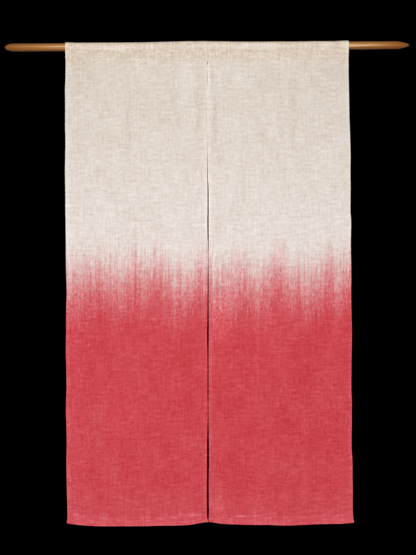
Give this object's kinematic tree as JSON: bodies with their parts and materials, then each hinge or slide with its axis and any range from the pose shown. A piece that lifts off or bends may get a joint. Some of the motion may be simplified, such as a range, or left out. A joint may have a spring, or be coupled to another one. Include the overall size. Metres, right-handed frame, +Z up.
{
  "type": "noren curtain on rod",
  "caption": "Split doorway curtain: dip-dyed cloth panels hang side by side, with a slit between them, from a straight rod through a sleeve sewn at their top.",
  "frame": {"origin": "middle of the rod, on its axis", "axes": "+Z up, +X along the rod to the right as seen from the front, and the cloth's face looks along -Y"},
  "size_m": [1.256, 0.0274, 1.5067],
  "materials": {
    "rod": "satin honey-brown wood",
    "panel_left": "plain-woven linen, natural off-white above and dip-dyed red below; the colour given is the mean",
    "panel_right": "plain-woven linen, natural off-white above and dip-dyed red below; the colour given is the mean"
  },
  "bodies": {
    "root": {"rod": "rod", "panel_left": "panel_left", "panel_right": "panel_right"}
  },
  "joints": []
}
